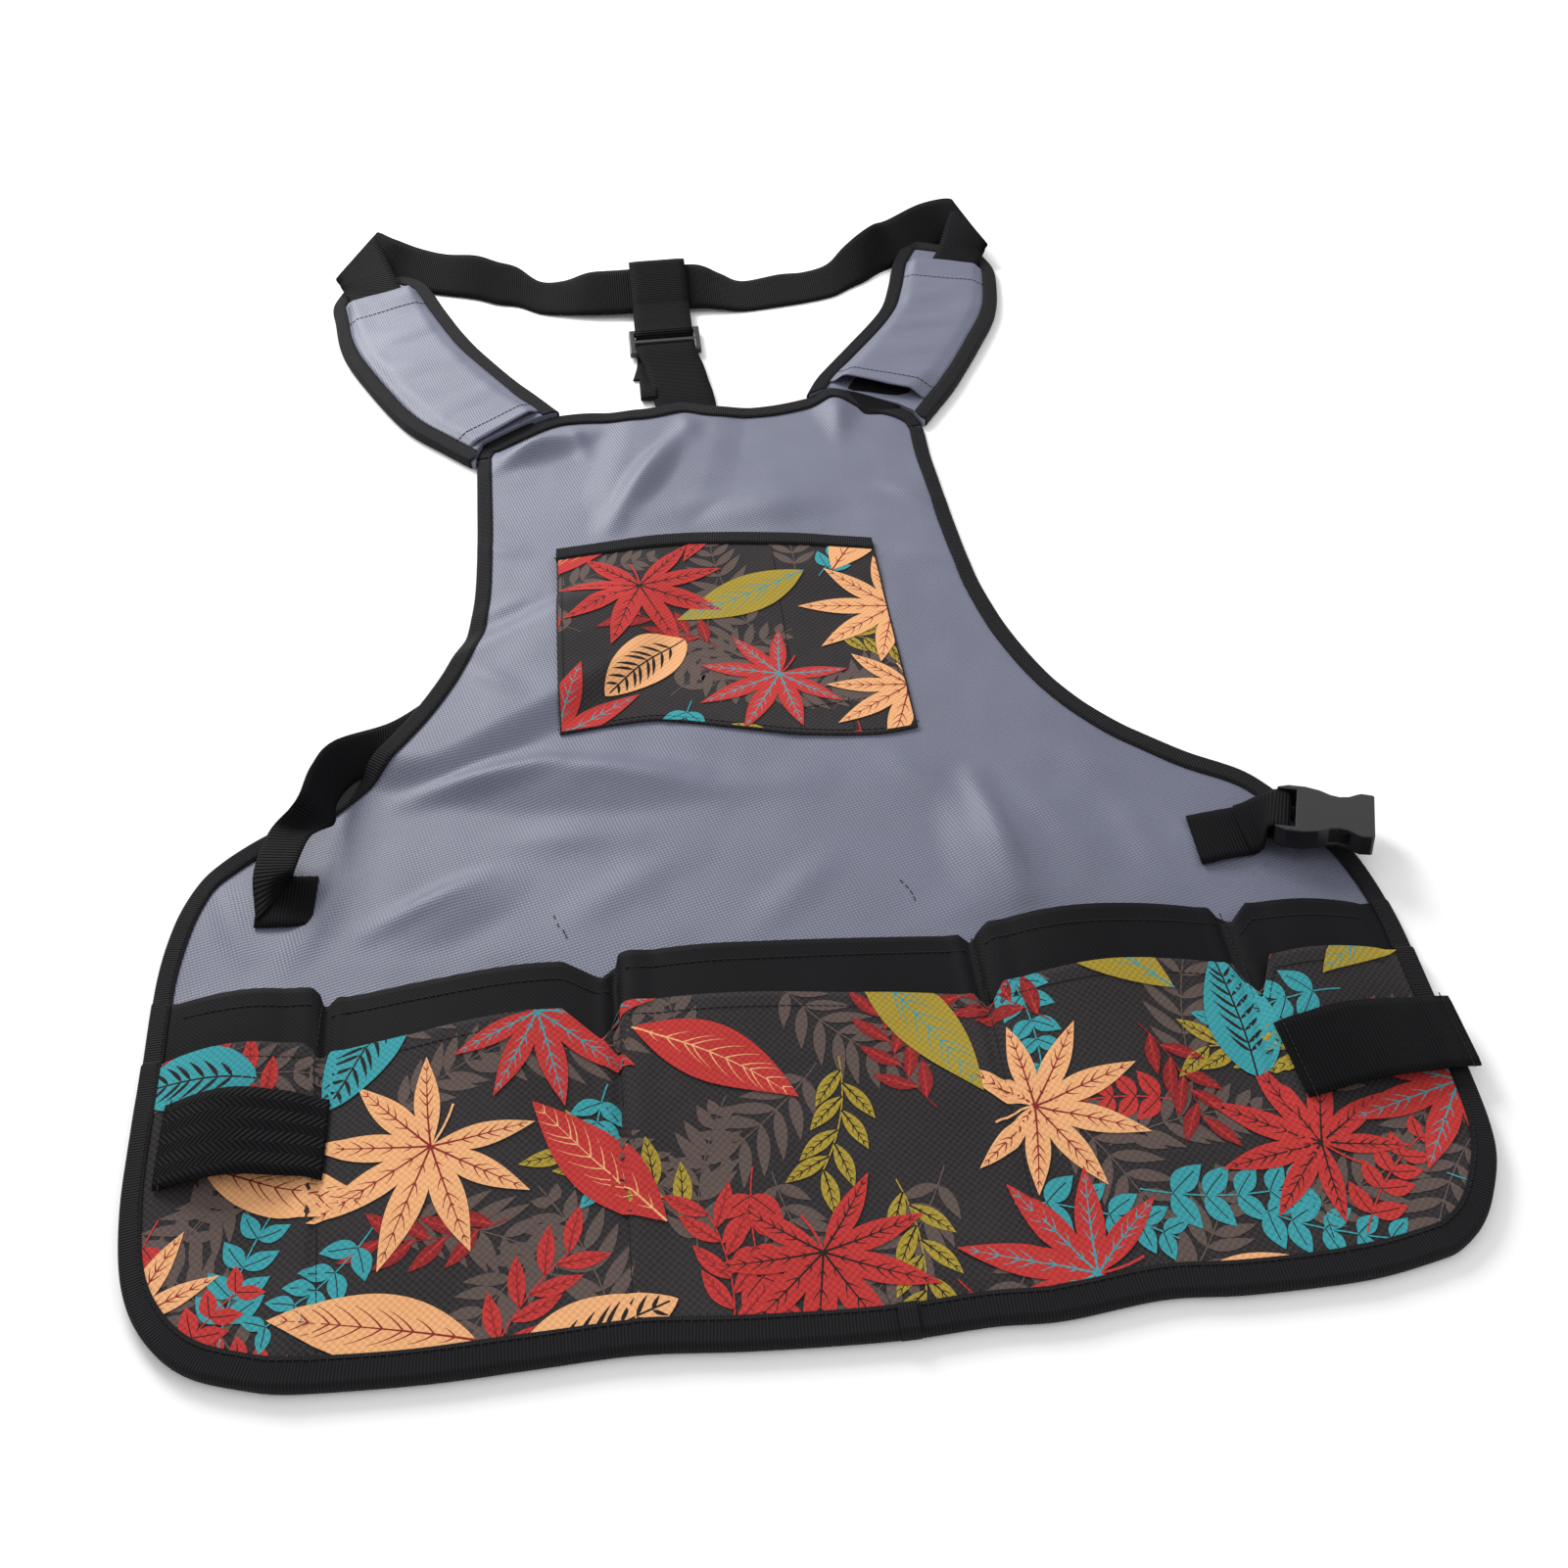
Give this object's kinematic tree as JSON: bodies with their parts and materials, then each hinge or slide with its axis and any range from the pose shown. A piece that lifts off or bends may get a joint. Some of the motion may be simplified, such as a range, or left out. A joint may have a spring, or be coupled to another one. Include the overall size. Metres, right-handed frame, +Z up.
{
  "type": "gardening apron",
  "caption": "Sleeved bib apron for gardening with printed pockets, two shoulder pads, tool loops and webbing straps.",
  "frame": {"origin": "middle of the box's bottom face, on the table", "axes": "+Z up from the table, +Y from the hem towards the neck strap, +X towards the buckle"},
  "size_m": [0.5478, 0.8962, 0.031],
  "materials": {
    "grey_cloth": "woven oxford",
    "dark_cloth": "plain nylon",
    "print_cloth": "printed canvas",
    "tape": "ribbed tape",
    "webbing": "woven webbing",
    "plastic": "satin"
  },
  "bodies": {
    "root": {"body_panel": "grey_cloth", "dark_pockets": "dark_cloth", "print_pockets": "print_cloth", "bib_top_binding": "tape", "left_binding": "tape", "right_binding": "tape", "chest_pocket": "print_cloth", "chest_pocket_band": "tape", "left_tool_loop": "webbing", "right_tool_loop": "webbing", "left_pad": "grey_cloth", "left_pad_binding": "tape", "left_pad_sleeve": "grey_cloth", "right_pad": "grey_cloth", "right_pad_binding": "tape", "right_pad_sleeve": "grey_cloth", "neck_strap": "webbing", "back_strap_loop": "webbing", "back_slider": "plastic", "back_strap": "webbing", "waist_tab": "webbing", "waist_strap": "webbing", "waist_plug": "plastic", "buckle_socket": "plastic", "buckle_tab": "webbing"}
  },
  "joints": []
}
